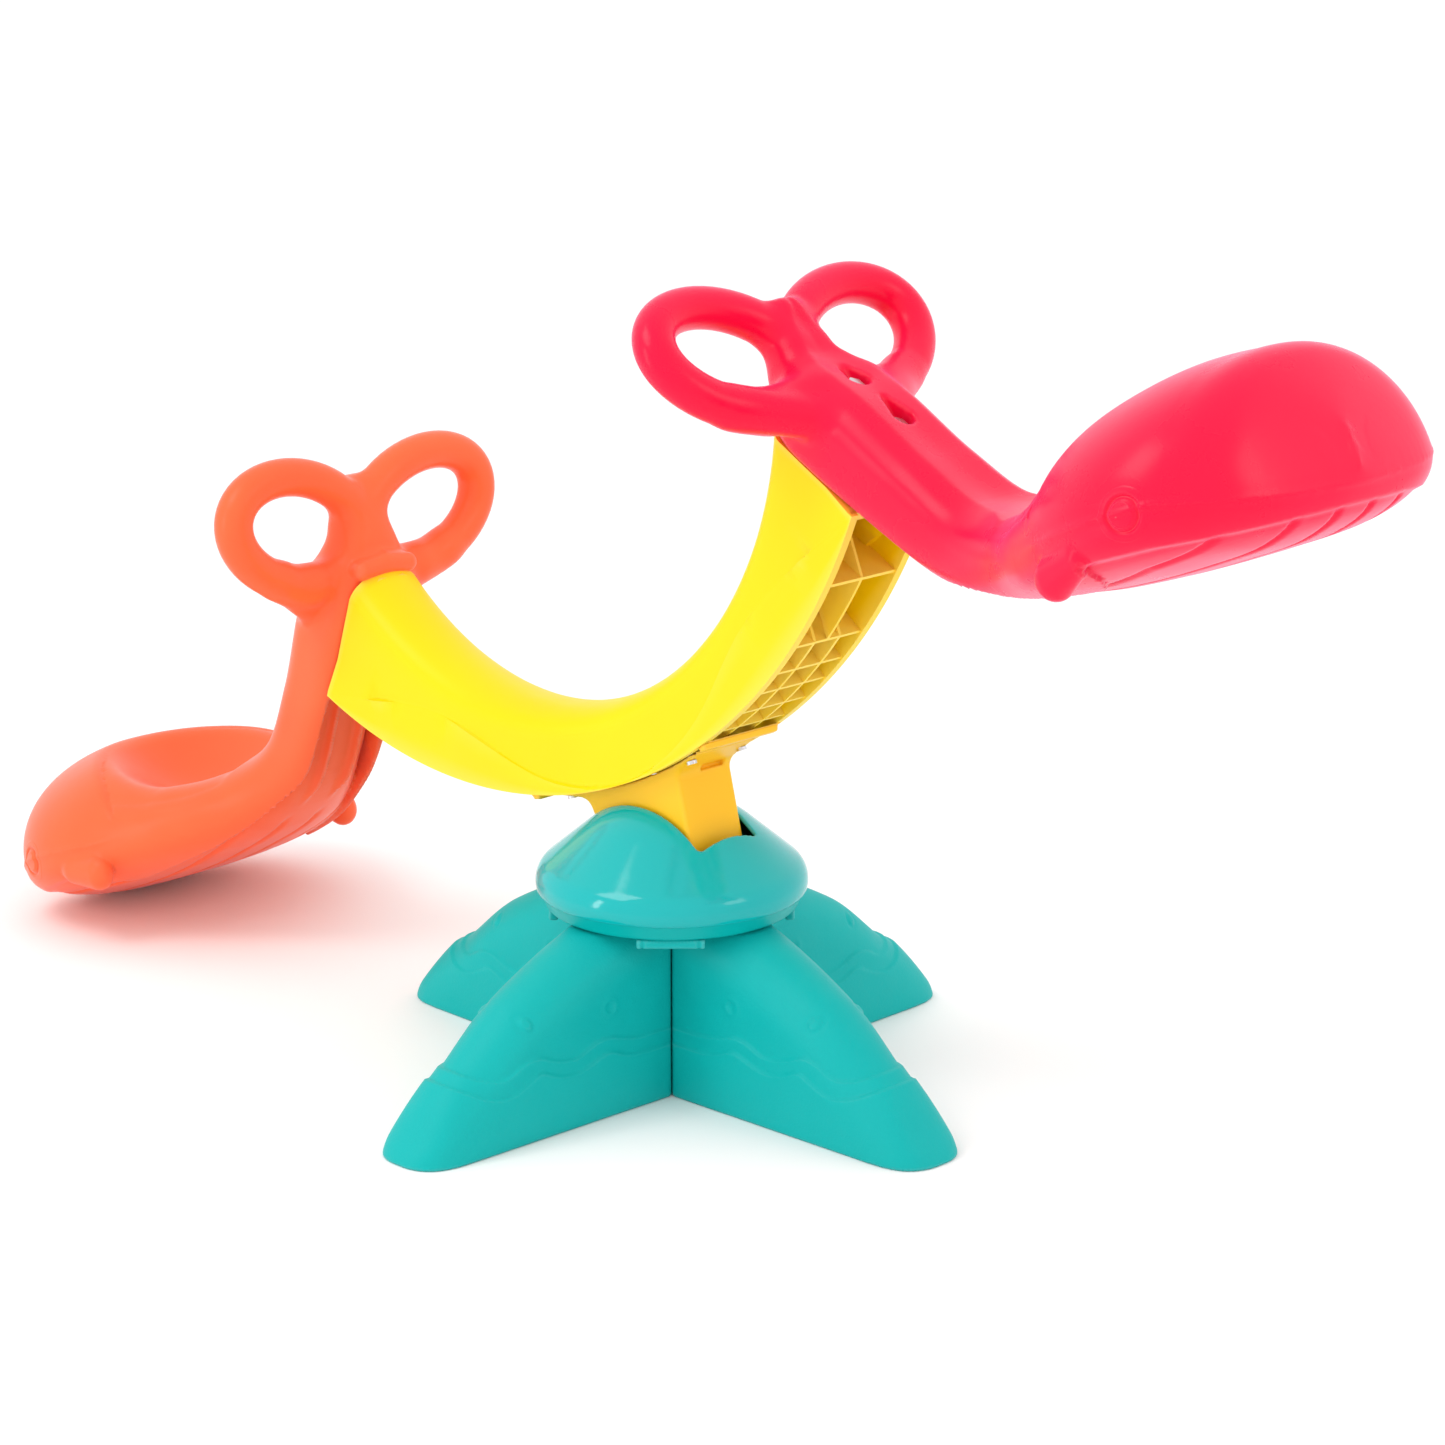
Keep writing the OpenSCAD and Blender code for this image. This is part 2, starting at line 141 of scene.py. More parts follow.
def surface_net(field, low, high, step):
    """Quads on the zero level of a field. Only grid blocks near that level are filled in."""
    low = np.asarray(low, float)
    size = step * BLOCK
    count = np.ceil((np.asarray(high) - low) / size).astype(int)
    starts = np.indices(count).reshape(3, -1).T
    near = np.abs(spread(field, low + (starts + 0.5) * size)) < NEAR_BLOCKS * size
    needed = np.zeros(count * BLOCK + 1, bool)
    for i, j, k in starts[near] * BLOCK:
        needed[i:i + BLOCK + 1, j:j + BLOCK + 1, k:k + BLOCK + 1] = True
    where = np.argwhere(needed)
    value = np.full(needed.shape, np.nan, np.float32)
    value[needed] = spread(field, low + where * step)

    corners = np.array([(i, j, k) for i in (0, 1) for j in (0, 1) for k in (0, 1)])
    cells = np.array(value.shape) - 1

    def at_corner(array, corner):
        return array[tuple(slice(c, c + n) for c, n in zip(corner, cells))]

    inside = value < 0
    filled = sum(at_corner(inside, c).astype(np.int8) for c in corners)
    known = np.logical_and.reduce([at_corner(needed, c) for c in corners])
    active = known & (filled > 0) & (filled < 8)
    cell = np.argwhere(active)
    index = np.full(active.shape, -1, np.int64)
    index[active] = np.arange(len(cell))

    corner_value = np.stack([at_corner(value, c)[active] for c in corners], axis=1)
    total = np.zeros((len(cell), 3))
    hits = np.zeros(len(cell))
    for a, start in enumerate(corners):
        for b, end in enumerate(corners):
            if a < b and np.abs(end - start).sum() == 1:
                fa, fb = corner_value[:, a], corner_value[:, b]
                cross = (fa < 0) != (fb < 0)
                t = (fa[cross] / (fa[cross] - fb[cross]))[:, None]
                total[cross] += start + t * (end - start)
                hits[cross] += 1
    points = low + (cell + total / hits[:, None]) * step

    quads = []
    for axis in range(3):
        ahead = [slice(None)] * 3
        behind = [slice(None)] * 3
        ahead[axis] = slice(1, None)
        behind[axis] = slice(None, -1)
        a, b = inside[tuple(behind)], inside[tuple(ahead)]
        both = needed[tuple(behind)] & needed[tuple(ahead)]
        edge = np.argwhere((a != b) & both)
        side_1, side_2 = np.eye(3, dtype=int)[(axis + 1) % 3], np.eye(3, dtype=int)[(axis + 2) % 3]
        edge = edge[((edge >= side_1 + side_2) & (edge < cells)).all(axis=1)]
        ring = [edge, edge - side_1, edge - side_1 - side_2, edge - side_2]
        quad = np.stack([index[tuple(c.T)] for c in ring], axis=1)
        outward = a[tuple(edge.T)]
        quad[~outward] = quad[~outward][:, ::-1]
        quads.append(quad[(quad >= 0).all(axis=1)])
    return points, np.concatenate(quads)


SETTLE_ROUNDS = 3
FLATTEST = 0.05


def settle(points, field, limit):
    """Moves the points of a net onto the exact zero level, by no more than the limit each time."""
    for _ in range(SETTLE_ROUNDS):
        slope = slope_of(field, points)
        steep = np.maximum((slope ** 2).sum(axis=1), FLATTEST)[:, None]
        move = -spread(field, points)[:, None] * slope / steep
        length = np.linalg.norm(move, axis=1)
        points = points + move * np.minimum(1, limit / np.maximum(length, 1e-9))[:, None]
    return points


def shell(field, low, high, step):
    """Points and quads of the surface of a field, in a box given by two corners."""
    points, quads = surface_net(field, low, high, step)
    return settle(points, field, step * 0.7), quads


# ---------- pieces ----------

def beam_to_world(points):
    """Beam frame (u along the beam, v across, w up from the axle) to the world at rest."""
    u, v, w = points.T
    c, s = np.cos(REST_TILT), np.sin(REST_TILT)
    return np.stack([u * c - w * s, v, AXLE_Z + u * s + w * c], axis=1)


def turned(points, angle):
    """Points turned about the vertical axis, in degrees."""
    c, s = np.cos(np.radians(angle)), np.sin(np.radians(angle))
    x, y, z = points.T
    return np.stack([x * c - y * s, x * s + y * c, z], axis=1)


def make_piece(name, points, faces, material, body, slot, *replaced):
    """Adds a piece, given in millimetres, that rides a body and stands for one CAD node."""
    mesh = bpy.data.meshes.new(name)
    faces = faces if isinstance(faces, list) else faces.tolist()
    mesh.from_pydata((points * MM).tolist(), [], faces)
    mesh.shade_smooth()
    mesh.materials.append(material)
    piece = bpy.data.objects.new(name, mesh)
    bpy.context.scene.collection.objects.link(piece)
    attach(piece, body)
    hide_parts(*replaced)
    return piece


# ---------- whale seats ----------

# Flat end of the beam, where the stalk is bolted on: "along" runs down it, "out" away from it
END_TOP = np.array([293.0, 280.0])
END_BOTTOM = np.array([357.0, 202.0])
END_DIR = (END_BOTTOM - END_TOP) / np.linalg.norm(END_BOTTOM - END_TOP)
END_OUT = np.array([-END_DIR[1], END_DIR[0]])
BOLT_ALONG = (21.0, 75.0)
BOLT_SEAT = 58.0

# Columns: u, w, half width, height over the spine, depth under it, dish depth, corner power
STATIONS = np.array([
    [299, 386, 12, 10, 10, 0, 2],
    [300, 364, 21, 18, 18, 0, 2.4],
    [308, 333, 32, 26, 30, 0, 3],
    [327, 303, 47, 33, 42, 0, 5],
    [357, 270, 50, 36, 45, 0, 6],
    [407, 208, 51, 35, 42, 0, 5],
    [459, 156, 58, 34, 43, 0, 3],
    [518, 132, 83, 42, 42, 8, 2.4],
    [583, 124, 126, 66, 42, 40, 2.3],
    [649, 123, 158, 96, 46, 68, 2.3],
    [710, 125, 166, 102, 49, 72, 2.3],
    [762, 129, 149, 97, 51, 62, 2.3],
    [798, 133, 104, 83, 42, 50, 2.2],
    [815, 135, 5, 20, 15, 50, 2]])
TOP_POWER = 2.1
RIM_SHARE = 0.88
# The dish reaches less far forward at its sides, and drops over a run of its front wall.
# It takes up a share of the seat's width, which is less towards the front.
DISH_FRONT = 722.0
DISH_ROUND = 0.0062
DISH_RUN = 80.0
DISH_LEAST = 12.0
SHARE_U = [590, 690]
SHARE_WIDE = [0.86, 0.76]
# Least slopes by which the fields of the skin and the dish are divided
LEAST_SLOPES = np.array([[1 / 90], [0.3]])
# The rim gets rounder with the depth of the dish. Where there is no dish, its floor is lifted.
FLOOR_LIFT = 6.0
RIM_SHARP, RIM_ROUND = 0.5, 11.0


def through_stations(s):
    """Catmull-Rom curve through the stations."""
    last = len(STATIONS) - 1
    i = np.minimum(np.floor(s).astype(int), last - 1)
    f = (s - i)[:, None]
    a, b, c, d = (STATIONS[np.clip(i + k, 0, last)] for k in (-1, 0, 1, 2))
    return b + f / 2 * (c - a + f * (2 * a - 5 * b + 4 * c - d + f * (3 * (b - c) + d - a)))


SPINE = through_stations(np.linspace(0, len(STATIONS) - 1, 600))
SPINE_DIR = np.gradient(SPINE[:, :2], axis=0)
SPINE_DIR /= np.linalg.norm(SPINE_DIR, axis=1)[:, None]
# The plane grid of u and w: its corner, its step and how many points it has each way
TABLE_LOW = np.array([170.0, 30.0])
TABLE_STEP = 2.0
TABLE_SIZE = (345, 230)


def spine_table():
    """Which point of the spine is nearest, on a plane grid of u and w."""
    grid = TABLE_LOW + np.indices(TABLE_SIZE).reshape(2, -1).T * TABLE_STEP
    best = np.empty(len(grid))
    for part in np.array_split(np.arange(len(grid)), 40):
        gap = ((grid[part, None] - SPINE[None, :, :2]) ** 2).sum(axis=2)
        near = gap.argmin(axis=1)
        ahead = ((grid[part] - SPINE[near, :2]) * SPINE_DIR[near]).sum(axis=1)
        spacing = np.linalg.norm(np.gradient(SPINE[:, :2], axis=0), axis=1)[near]
        best[part] = np.clip(near + ahead / spacing, 0, len(SPINE) - 1)
    return best.reshape(TABLE_SIZE)


def station_table():
    """Station values and height over the spine, on the same grid as spine_table()."""
    near = spine_table().ravel()
    whole = np.arange(len(SPINE))
    grid = TABLE_LOW + np.indices(TABLE_SIZE).reshape(2, -1).T * TABLE_STEP
    row = np.stack([np.interp(near, whole, SPINE[:, c]) for c in range(7)], axis=1)
    way = np.stack([np.interp(near, whole, SPINE_DIR[:, c]) for c in range(2)], axis=1)
    away = grid - row[:, :2]
    height = away[:, 1] * way[:, 0] - away[:, 0] * way[:, 1]
    table = np.concatenate([row, height[:, None]], axis=1)
    return table.reshape(*TABLE_SIZE, -1)


STATION_TABLE = station_table()


def spine_at(u, w):
    """Station values at the nearest spine point, and height over the spine."""
    g = (np.stack([u, w], axis=1) - TABLE_LOW) / TABLE_STEP
    g = np.clip(g, 0, np.array(TABLE_SIZE) - 1.001)
    i, f = g.astype(int), g % 1
    found = sum(
        STATION_TABLE[i[:, 0] + a, i[:, 1] + b]
        * (np.abs(1 - a - f[:, 0]) * np.abs(1 - b - f[:, 1]))[:, None]
        for a in (0, 1) for b in (0, 1))
    return found[:, :7], found[:, 7]


def skin_and_dish(points):
    """Fields whose zero levels are the outer skin and the floor of the seat dish."""
    row, height = spine_at(points[:, 0], points[:, 2])
    x = np.abs(points[:, 1]) / np.maximum(row[:, 2], 1)
    up = height > 0
    power = np.where(up, TOP_POWER, row[:, 6])
    y = np.abs(height) / np.where(up, row[:, 3], row[:, 4])
    skin = (x ** power + y ** power) ** (1 / power) - 1
    x = np.minimum(x, 1.3)
    crown = (1 - np.minimum(x, RIM_SHARE) ** TOP_POWER) ** (1 / TOP_POWER)
    crown = crown - np.maximum(x - RIM_SHARE, 0)
    share = np.interp(points[:, 0], SHARE_U, SHARE_WIDE)
    c = 1 - (x / share) ** 2
    side_drop = c * np.sqrt(np.abs(c))
    t = (DISH_FRONT - DISH_ROUND * points[:, 1] ** 2 - points[:, 0]) / DISH_RUN
    front_drop = np.where(t > 0, 1 - np.clip(1 - t, 0, 1) ** 2, 2 * t)
    both = (side_drop > 0) & (front_drop > 0)
    drop = np.where(both, side_drop * front_drop, np.minimum(side_drop, front_drop))
    floor = row[:, 3] * crown - np.maximum(row[:, 5], DISH_LEAST) * drop
    return np.stack([skin, height - floor])


def body_distance(points):
    """Rough distance to the hollowed body, from both fields and their slopes."""
    here = skin_and_dish(points)
    steep = np.zeros_like(here)
    for axis in range(3):
        shift = np.zeros(3)
        shift[axis] = SLOPE_STEP
        steep += ((skin_and_dish(points + shift) - here) / SLOPE_STEP) ** 2
    skin, dish = here / np.maximum(np.sqrt(steep), LEAST_SLOPES)
    nose = (points[:, [0, 2]] - SPINE[-1, :2]) @ SPINE_DIR[-1]
    top = (SPINE[0, :2] - points[:, [0, 2]]) @ SPINE_DIR[0]
    deep = spine_at(points[:, 0], points[:, 2])[0][:, 5]
    rim = RIM_SHARP + RIM_ROUND * ramp(deep, 0, 30)
    hollowed = smooth_max(skin, dish - FLOOR_LIFT * ramp(deep, 8, 0), rim)
    return smooth_max(hollowed, np.maximum(nose, top), 5)


# A handle loop is a leaning ellipse: half sizes across and up, skew of its outer end, lean
LOOP_CENTRE = np.array([300.0, 73.0, 349.5])
LOOP_ACROSS = 72.0
LOOP_UP = 49.5
LOOP_SKEW = 12.0
LOOP_TILT = np.radians(72)
GRIP_R = 17.5


def loop_point(angle):
    """Point of the middle line of the loop at +v, from its outer end round by its upper side."""
    a = np.radians(angle)
    up = LOOP_UP * np.sin(a) + LOOP_SKEW * np.cos(a)
    offset = [-up * np.cos(LOOP_TILT), LOOP_ACROSS * np.cos(a), up * np.sin(LOOP_TILT)]
    return LOOP_CENTRE + np.array(offset)


LOOP = np.array([loop_point(a) for a in range(0, 360, 6)])
# Past this reach from its centre, a loop is only said to be far away
LOOP_REACH = 150.0
FAR = 90.0


def loop_distance(points, side):
    """Distance to the middle line of the handle loop on one side."""
    p = points * np.array([1, side, 1])
    best = np.full(len(p), FAR)
    near = np.linalg.norm(p - LOOP_CENTRE, axis=1) < LOOP_REACH
    q = p[near]
    found = np.full(len(q), FAR)
    for a, b in zip(LOOP, np.roll(LOOP, -1, axis=0)):
        line = b - a
        t = np.clip((q - a) @ line / (line @ line), 0, 1)
        found = np.minimum(found, np.linalg.norm(q - a - t[:, None] * line, axis=1))
    best[near] = found
    return best


# Rods that blend the loops into the top of the stalk: start, angle on the loop, two radii
WEBS = (
    ((336, 26, 300), 262, 22, 17),
    ((350, 34, 280), 290, 18, 16),
    ((306, 9, 345), 215, 17, 14),
    ((300, 2, 378), 145, 13, 12))

# A fin runs from a round lobe at the rear up to a smaller one in front, and is thin sideways
FIN_REAR = np.array([640.0, 151.0, 103.0])
FIN_FRONT = np.array([670.0, 157.0, 111.0])
FIN_RADII = (17, 12)
FIN_SQUASH = np.array([1.0, 1.25, 1.0])
# An eye is a proud button in a round groove. Its patch overlaps the skin round its seat with a
# hem that dips under the skin.
EYE = (727.0, 132.0)
EYE_R = 10.6
EYE_RING = 15.0
EYE_SEAT = 4.5
EYE_HEM = 7.0
EYE_START_V = 162.0
EYE_GROOVE = 1.9
EYE_PROUD = 1.3
HEM_LIFT = 0.25
HEM_SINK = 0.9
EYE_RINGS = 40
EYE_ROUNDS = 6
# The hollow begins just past the lower end of the beam and ends at the mouth line. Pairs are the
# two ends of a smooth step.
HOLLOW_ALONG = (103, 107)
HOLLOW_SIDE = (-1.5, 2.5)
MOUTH_SIDE = (-1.5, 1.5)
MOUTH_U = (640, 600)
UNDERSIDE = (-3, -9)
# Two ribs stand in the channel of the stalk, and pleats run along the hollow of the belly
RIB_V = 17.0
RIB_SHARE = 0.62
RIB_U = (486, 440)
PLEAT_V = (20, 63)
PLEAT_DEEP = 3.4
PLEAT_U = (490, 520)
LINE_WIDE = 3.2
# A raised line runs along the cheek
RIDGE_PROUD = 0.9
RIDGE_WIDE = 3.0
RIDGE_U = (600, 640)
# How far from the skin the small detail fades out of the field
DETAIL_REACH = 45.0
# The lip of a seat over the end of the beam, and the drop-shaped pockets of its bolts
LIP_START = (281, -5, 304)
LIP_END = (283, 27, 300)
LIP_RADII = (11, 9)
SEAT_MIDDLE = 44.0
SEAT_HALF = 62.0
POCKET_TAIL = (-25, 0, 0)
POCKET_RADII = (10.5, 2.5)
POCKET_RISE = 0.7


def lip_height(u):
    """Height of the mouth line round the front of the belly."""
    return np.interp(u, [640, 690, 732, 767, 788, 807], [107, 105, 103, 99, 97, 96])


def pad_half_width(u):
    """Half width of the hollow under the belly, which narrows into a channel up the stalk."""
    at = [340, 430, 459, 499, 544, 589, 640, 662, 682]
    return np.interp(u, at, [37, 41, 50, 61, 75, 88, 99, 128, 190])


def ridge_height(u):
    """Height of the raised line along the cheek, above the mouth."""
    at = [640, 658, 709, 749, 777, 800, 809, 816]
    return np.interp(u, at, [131, 133, 135, 133, 125, 117, 113, 110])


def hollow_depth(u):
    """Depth of the hollow, which is deepest in the channel of the stalk."""
    return np.interp(u, [400, 440, 480, 520, 560, 610], [24, 20, 13, 8, 5, 3.2])


def outer_pleat(u):
    """How far from the middle the outermost pleat runs."""
    return np.interp(u, [640, 700], [98, 118])


def whale_detail(points, height, with_eyes):
    """Small inward (positive) and outward (negative) steps of the skin."""
    u, v, w = points[:, 0], np.abs(points[:, 1]), points[:, 2]
    below = ramp(lip_height(u) - w, *MOUTH_SIDE) + ramp(u, *MOUTH_U)
    under = ramp(height, *UNDERSIDE) * np.minimum(below, 1)
    along = (np.stack([u, w], axis=1) - END_TOP) @ END_DIR
    pad = under * ramp(pad_half_width(u) - v, *HOLLOW_SIDE) * ramp(along, *HOLLOW_ALONG)
    rib = bump(v - RIB_V, LINE_WIDE) * ramp(u, *RIB_U) * RIB_SHARE
    detail = hollow_depth(u) * pad * (1 - rib)
    pleat = bump(v - PLEAT_V[0], LINE_WIDE) + bump(v - PLEAT_V[1], LINE_WIDE)
    pleat = pleat + bump(v - outer_pleat(u), LINE_WIDE)
    detail = detail + PLEAT_DEEP * pleat * pad * ramp(u, *PLEAT_U)
    detail = detail - RIDGE_PROUD * bump(w - ridge_height(u), RIDGE_WIDE) * ramp(u, *RIDGE_U)
    eye = np.hypot(u - EYE[0], w - EYE[1])
    detail = detail + EYE_SEAT * ramp(eye, EYE_RING, EYE_RING - 3) * (v > 100) * with_eyes
    return detail


def whale_field(points, with_eyes=True):
    """The whole seat: body, loops, webs, fins, lip, small detail and bolt pockets."""
    mirrored = points * np.array([1, 0, 1]) + np.abs(points) * np.array([0, 1, 0])
    u, v, w = mirrored.T
    body = body_distance(mirrored)
    loops = smooth_min(loop_distance(mirrored, 1), loop_distance(mirrored, -1), 9) - GRIP_R
    webs = np.full(len(u), FAR)
    for start, angle, radius_a, radius_b in WEBS:
        webs = smooth_min(webs, capsule(mirrored, start, loop_point(angle), radius_a, radius_b), 10)
    whole = smooth_min(smooth_min(body, webs, 9), loops, 10)
    fin = capsule(mirrored * FIN_SQUASH, FIN_REAR * FIN_SQUASH, FIN_FRONT * FIN_SQUASH, *FIN_RADII)
    whole = smooth_min(whole, fin, 3)
    height = spine_at(u, w)[1]
    whole = whole + whale_detail(mirrored, height, with_eyes) * bump(whole, DETAIL_REACH)

    flat = np.stack([u, w], axis=1) - END_TOP
    along, out = flat @ END_DIR, flat @ END_OUT
    whole = smooth_max(whole, -smooth_max(out, np.abs(along - SEAT_MIDDLE) - SEAT_HALF, 4), 3)
    lip = capsule(mirrored, LIP_START, LIP_END, *LIP_RADII)
    whole = smooth_min(whole, lip, 7)
    for place in BOLT_ALONG:
        plane = np.stack([along - place, v, out * 0], axis=1)
        drop = capsule(plane, (0, 0, 0), POCKET_TAIL, *POCKET_RADII)
        floor = BOLT_SEAT + POCKET_RISE * np.maximum(place - 8 - along, 0)
        whole = smooth_max(whole, -smooth_max(drop, (floor - out) * 0.75, 3), 3)
    return whole


def eye_patch(side):
    """Finely divided disc over one eye: a raised button inside a round groove."""
    radii = np.linspace(0.2, EYE_RING + EYE_HEM, EYE_RINGS)
    angles = np.radians(np.arange(0, 360, 5))
    r, a = (grid.ravel() for grid in np.meshgrid(radii, angles, indexing="ij"))
    start_v = np.full(len(r), EYE_START_V * side)
    points = np.stack([EYE[0] + r * np.cos(a), start_v, EYE[1] + r * np.sin(a)], axis=1)
    for _ in range(EYE_ROUNDS):
        points[:, 1] -= side * spread(lambda p: whale_field(p, False), points)
    groove = ramp(r, EYE_R, EYE_R + 2) * ramp(r, EYE_RING, EYE_RING - 3)
    over_skin = ramp(r, EYE_RING - 0.5, EYE_RING + 1)
    hem = ramp(r, EYE_RING + 4, EYE_RING + EYE_HEM)
    button = ramp(r, EYE_R, EYE_R - 2)
    sink = EYE_GROOVE * groove - EYE_PROUD * button - HEM_LIFT * over_skin + HEM_SINK * hem
    points[:, 1] -= side * sink
    around = len(angles)
    quads = [[i * around + j, i * around + (j + 1) % around, (i + 1) * around + (j + 1) % around,
              (i + 1) * around + j] for i in range(len(radii) - 1) for j in range(around)]
    quads.append(list(range(around))[::-1])
    return points, [quad if side < 0 else quad[::-1] for quad in quads]


# ---------- base legs ----------

# A leg runs out along x and narrows from its root to its toe. Its ridge is an arc that dips
# towards the toe, its cross-section is an arch, and its toe leans and bulges a little.
LEG_HALF_ROOT = 47.0
LEG_HALF_TOE = 41.0
NARROW_START = 14.0
NARROW_RUN = 270.0
DIP_DEEP = 7.0
DIP_X = (195, 256)
RIDGE_CENTRE = (-99.0, -406.0)
RIDGE_R = 603.0
ARCH = 50.0
TOE_CORNER = 34.0
TOE_FACE = (286.0, 56.0)
TOE_LEAN = np.radians(33)
TOE_BULGE = 0.05
TOE_BACK = 0.5
TOE_BLEND = 18.0
LEG_SEAM = 0.6
# How far each wavy step of the side stands out, how far the skin above both is set back, and
# half the height that a step takes
STEP_RISE = 2.2
STEP_SINK = 2.9
STEP_BLEND = 1.3
HUB_CLEAR_R = 23.0
LEG_BOX = ((15, -52, -4), (324, 52, 162))
LEG_STEP = 1.9
# The two wavy steps on the sides of a leg: heights at these distances from the middle
WAVE_R = np.array([20, 62, 80, 96, 116, 134, 148, 163, 178, 193, 209, 228, 249, 281, 330])
UPPER_WAVE = np.array([63, 63, 63, 66, 72, 69, 61, 62, 66, 73, 71, 60, 63, 80, 96])
LOWER_WAVE = np.array([49, 49, 49, 51, 60, 54, 49, 49, 53, 61, 52, 45, 49, 65, 82])
# Round marks: distance from the middle, height, radius, how far they go in (or out, if negative)
LEG_DOTS = ((198, 100, 6.5, -1.6), (112, 97, 7.0, 1.2), (198, 100, 10, 0.5), (112, 97, 10.5, -0.6))


def wave(r, heights):
    """Smooth line through the wave heights."""
    spread_r = (-7, -3.5, 0, 3.5, 7)
    return sum(np.interp(r + d, WAVE_R, heights) for d in spread_r) / len(spread_r)


def leg_field(points):
    """One leg, mitred at 45 degrees against its neighbours and open for the hub's column."""
    x, y, z = points[:, 0], np.abs(points[:, 1]), points[:, 2]
    narrow = np.clip((x - NARROW_START) / NARROW_RUN, 0, 1.1)
    half = LEG_HALF_ROOT + (LEG_HALF_TOE - LEG_HALF_ROOT) * narrow
    dip = DIP_DEEP * ramp(x, *DIP_X)
    from_centre = np.hypot(x - RIDGE_CENTRE[0], z - RIDGE_CENTRE[1])
    over = np.maximum(from_centre + dip - (RIDGE_R - ARCH), 0)
    arch = (np.hypot(over / ARCH, y / half) - 1) * half
    toe = (x - TOE_FACE[0]) * np.cos(TOE_LEAN) + (z - TOE_FACE[1]) * np.sin(TOE_LEAN)
    body = smooth_max(arch, toe - TOE_BULGE * y ** 2 / half + TOE_BACK, TOE_BLEND)
    tip = rounded_box(x - LEG_REACH / 2, y, LEG_REACH / 2, half, TOE_CORNER)
    body = smooth_max(body, tip, 8)
    steps = sum(ramp(wave(x, heights) - z, -STEP_BLEND, STEP_BLEND)
                for heights in (UPPER_WAVE, LOWER_WAVE))
    body = body + STEP_SINK - STEP_RISE * steps
    for dot_x, dot_z, radius, height in LEG_DOTS:
        body = body + height * ramp(np.hypot(x - dot_x, z - dot_z), radius, radius - 4)
    mitre = (y - x + LEG_SEAM) * np.sqrt(0.5)
    whole = smooth_max(body, mitre, 2.5)
    whole = smooth_max(whole, -z, 3)
    whole = smooth_max(whole, z - LEG_TOP, 2)
    return smooth_max(whole, HUB_CLEAR_R - np.hypot(x, y), 2)


def make_legs():
    points, quads = shell(leg_field, *LEG_BOX, LEG_STEP)
    points[:, 2] = np.maximum(points[:, 2], 0)
    names = ("leg_front_right", "leg_rear_right", "leg_rear_left", "leg_front_left")
    for number, name in enumerate(names):
        place = turned(points, 90 * number)
        make_piece("moulded_" + name, place, quads, TEAL, "base", "teal_matte", name)


HUB_R = 104.0
HUB_TOP = LEG_TOP + 7
COLUMN_R = 22.0
# A lug: distance from the middle, half its depth, width and height, drop below the disc's face
LUG_OUT = 102.0
LUG_HALF_DEEP = 4.0
LUG_HALF = 29.0
LUG_HALF_HIGH = 4.0
LUG_DROP = 3.0
# Two notches in its outer face: distance in from its ends, half width, where they stop
NOTCH_IN = 5.0
NOTCH_HALF = 1.2
NOTCH_OUT = 104.6
HUB_BOX = ((-110, -110, -3), (110, 110, 166))
HUB_STEP = 2.0


def hub_field(points):
    """Disc over the legs, column in the middle and four lugs that show between the legs."""
    x, y, z = points.T
    r = np.hypot(x, y)
    disc = smooth_max(r - HUB_R, np.abs(z - (LEG_TOP + HUB_TOP) / 2) - (HUB_TOP - LEG_TOP) / 2, 1.5)
    column = smooth_max(r - COLUMN_R, np.maximum(-z, z - HUB_TOP), 2)
    out, side = (np.abs(x) + np.abs(y)) * np.sqrt(0.5), (np.abs(x) - np.abs(y)) * np.sqrt(0.5)
    plan = rounded_box(out - LUG_OUT, side, LUG_HALF_DEEP, LUG_HALF, 2)
    lug = smooth_max(plan, np.abs(z - LEG_TOP + LUG_DROP) - LUG_HALF_HIGH, 2)
    across = np.abs(np.abs(side) - LUG_HALF + NOTCH_IN) - NOTCH_HALF
    notch = smooth_max(across, NOTCH_OUT - out, 1)
    lug = smooth_max(lug, -notch, 1)
    return smooth_min(smooth_min(disc, column, 3), lug, 1)


def make_hub():
    points, quads = shell(hub_field, *HUB_BOX, HUB_STEP)
    points[:, 2] = np.maximum(points[:, 2], 0)
    make_piece("moulded_hub", points, quads, TEAL, "base", "teal_matte", "base_hub")


# ---------- dome ----------

# The cap is part of a ball, the rim a round edge, and the cone between them touches both
DOME_R = 118.5
DOME_WALL = 4.0
DOME_EDGE_Z = 170.0
CAP_R = 110.0
CAP_Z = 145.0
RIM_R = 24.0
RIM_Z = 178.0
CONE_LEAN = np.radians(50)
SLOT_HALF_L = 69.0
SLOT_HALF_W = 34.5
DOME_BOX = ((-122, -122, 164), (122, 122, 260))
DOME_STEP = 1.7


def dome_field(points):
    """Ball cap, cone and rounded rim, hollow, with the slot for the saddle."""
    x, y, z = points.T
    r = np.hypot(x, y)
    out_r, out_z = r - (DOME_R - RIM_R), z - RIM_Z
    cone = out_r * np.cos(CONE_LEAN) + out_z * np.sin(CONE_LEAN)
    down_cone = out_r * np.sin(CONE_LEAN) - out_z * np.cos(CONE_LEAN)
    skirt = np.where(down_cone > 0, np.hypot(out_r, out_z), cone) - RIM_R
    past_cap = r * np.sin(CONE_LEAN) > (z - CAP_Z) * np.cos(CONE_LEAN)
    skin = np.where(past_cap, skirt, np.hypot(r, z - CAP_Z) - CAP_R)
    whole = smooth_max(skin, -skin - DOME_WALL, 1)
    whole = smooth_max(whole, DOME_EDGE_Z - z, 2)
    slot = rounded_box(x, y, SLOT_HALF_L, SLOT_HALF_W, 5)
    slot = smooth_max(slot, CAP_Z + 10 - z, 1)
    return smooth_max(whole, -slot, 2.4)


